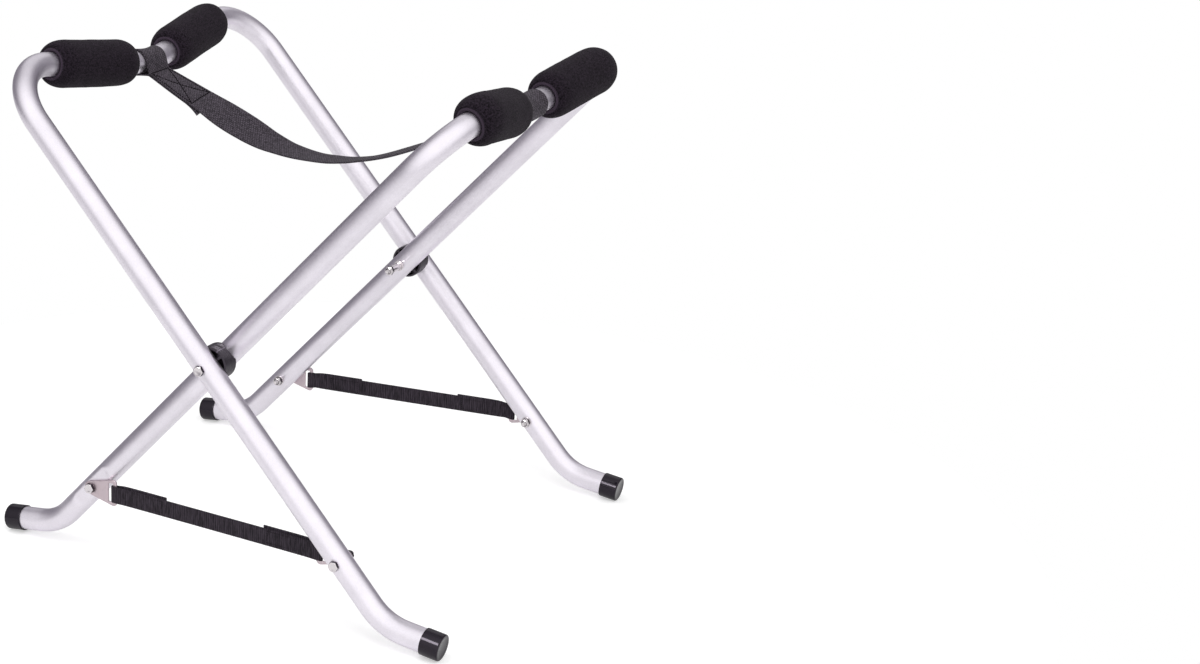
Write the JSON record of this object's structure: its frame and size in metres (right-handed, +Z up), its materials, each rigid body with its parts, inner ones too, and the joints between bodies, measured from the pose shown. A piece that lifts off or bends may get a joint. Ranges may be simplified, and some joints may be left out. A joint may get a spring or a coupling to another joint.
{
  "type": "folding kayak stand",
  "caption": "Folding X-frame stand of two crossed bent tubes with foam sleeves on the dipped top bars, a webbing sling between them and low straps between the legs.",
  "frame": {"origin": "on the floor, below the middle of the open stand's box", "axes": "+Z up, +Y along the hull and the pivot axis, X across the stand with the wide frame's bar at -X"},
  "size_m": [0.5514, 0.5044, 0.5432],
  "materials": {
    "tube": "satin anodised, fine grain along the tube",
    "steel": "bright zinc plate",
    "cap": "moulded, glossy",
    "spacer": "moulded, ribbed, matte",
    "foam": "closed-cell foam with a fine fabric-like skin",
    "webbing": "woven polyester webbing"
  },
  "bodies": {
    "outer_frame": {"outer_frame_tube": "tube", "foam_sleeve_outer_near": "foam", "foot_cap_outer_near": "cap", "pivot_saddle_outer_near": "spacer", "strap_bracket_outer_near": "steel", "bracket_bolt_outer_near": "steel", "bracket_washer_outer_near": "steel", "bracket_nut_outer_near": "steel", "foam_sleeve_outer_far": "foam", "foot_cap_outer_far": "cap", "pivot_saddle_outer_far": "spacer", "strap_bracket_outer_far": "steel", "bracket_bolt_outer_far": "steel", "bracket_washer_outer_far": "steel", "bracket_nut_outer_far": "steel", "pivot_bolt_near": "steel", "pivot_washer_near": "steel", "pivot_bush_near": "steel", "pivot_nut_near": "steel", "low_strap_near": "webbing", "pivot_bolt_far": "steel", "pivot_washer_far": "steel", "pivot_bush_far": "steel", "pivot_nut_far": "steel", "low_strap_far": "webbing", "sling_strap": "webbing"},
    "inner_frame": {"inner_frame_tube": "tube", "foam_sleeve_inner_near": "foam", "foot_cap_inner_near": "cap", "pivot_saddle_inner_near": "spacer", "strap_bracket_inner_near": "steel", "bracket_bolt_inner_near": "steel", "bracket_washer_inner_near": "steel", "bracket_nut_inner_near": "steel", "foam_sleeve_inner_far": "foam", "foot_cap_inner_far": "cap", "pivot_saddle_inner_far": "spacer", "strap_bracket_inner_far": "steel", "bracket_bolt_inner_far": "steel", "bracket_washer_inner_far": "steel", "bracket_nut_inner_far": "steel"}
  },
  "joints": [
    {"name": "fold", "type": "hinge", "parent": "outer_frame", "child": "inner_frame", "pos_m": [0, 0, 0.25154], "axis": [0, -1, 0], "range_deg": [0, 76], "deforming": ["sling_strap", "low_strap_near", "low_strap_far"]}
  ]
}
